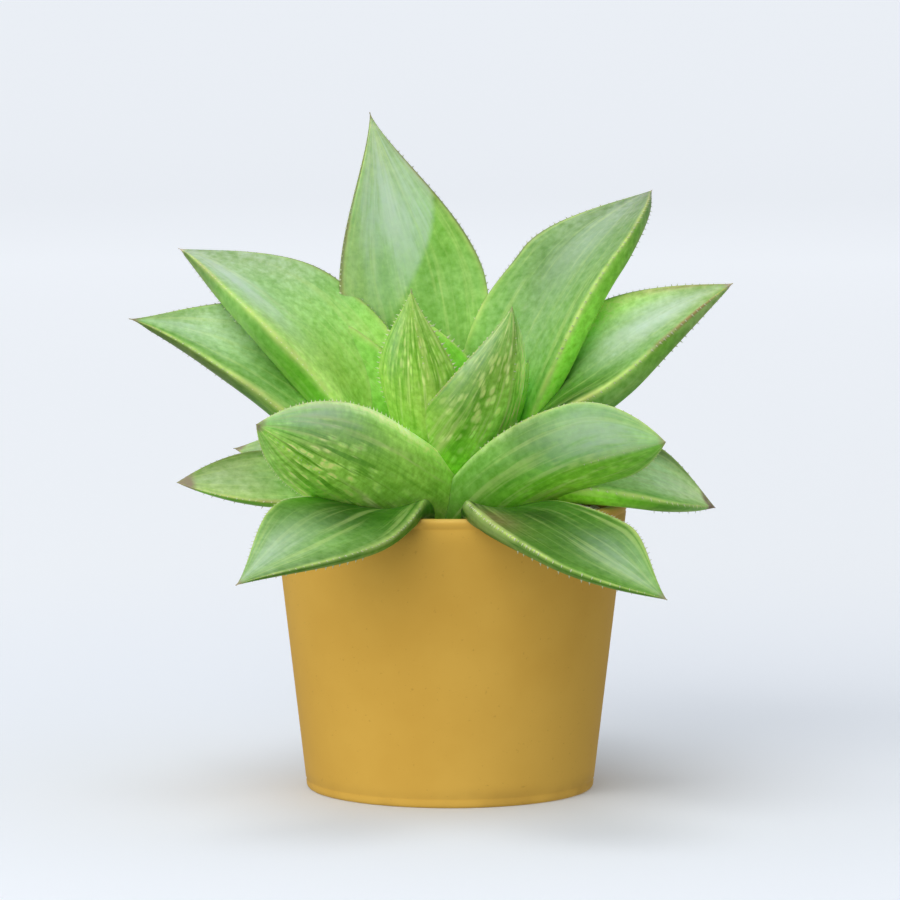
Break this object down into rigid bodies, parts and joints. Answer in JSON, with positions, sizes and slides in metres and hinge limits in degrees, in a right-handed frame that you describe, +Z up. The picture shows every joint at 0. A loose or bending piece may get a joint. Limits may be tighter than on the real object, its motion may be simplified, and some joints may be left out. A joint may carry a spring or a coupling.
{
  "type": "potted haworthia",
  "caption": "Small succulent with a rosette of thick pointed boat-shaped leaves, leaning forward from a short stem in a plain tapered round pot topped with gravel.",
  "frame": {"origin": "centre of the pot's flat foot, on the surface the pot stands on", "axes": "+Z up along the pot's axis; -Y is the front, the way the rosette leans; +X is to the right as seen from the front"},
  "size_m": [0.0924, 0.1027, 0.1044],
  "materials": {
    "pot": "satin ochre, smooth",
    "soil": "matt dark brown potting mix",
    "gravel": "matt pinkish cream pebbles",
    "stem": "matt dry pale olive skin",
    "leaf_inner": "satin, fresh yellow-green, translucent",
    "leaf_middle": "satin, green with a whitish sheen and pale windows",
    "leaf_outer": "satin, green with a whitish sheen and brown edges"
  },
  "bodies": {
    "root": {"pot": "pot", "soil": "soil", "gravel": "gravel", "stem": "stem", "leaf_heart_core": "leaf_inner", "leaf_heart_back": "leaf_inner", "leaf_heart_left": "leaf_inner", "leaf_heart_right": "leaf_inner", "leaf_heart_side": "leaf_inner", "leaf_back_tall": "leaf_middle", "leaf_upper_right": "leaf_middle", "leaf_upper_left": "leaf_middle", "leaf_front_right": "leaf_middle", "leaf_front_left": "leaf_middle", "leaf_right": "leaf_middle", "leaf_left": "leaf_middle", "leaf_rear_centre": "leaf_middle", "leaf_rear_right": "leaf_middle", "leaf_rear_left": "leaf_middle", "leaf_low_left": "leaf_outer", "leaf_low_right": "leaf_outer", "leaf_bottom_left": "leaf_outer", "leaf_bottom_right": "leaf_outer", "leaf_old_right": "leaf_outer", "leaf_old_left": "leaf_outer", "leaf_old_back_right": "leaf_outer", "leaf_old_back_left": "leaf_outer"}
  },
  "joints": []
}
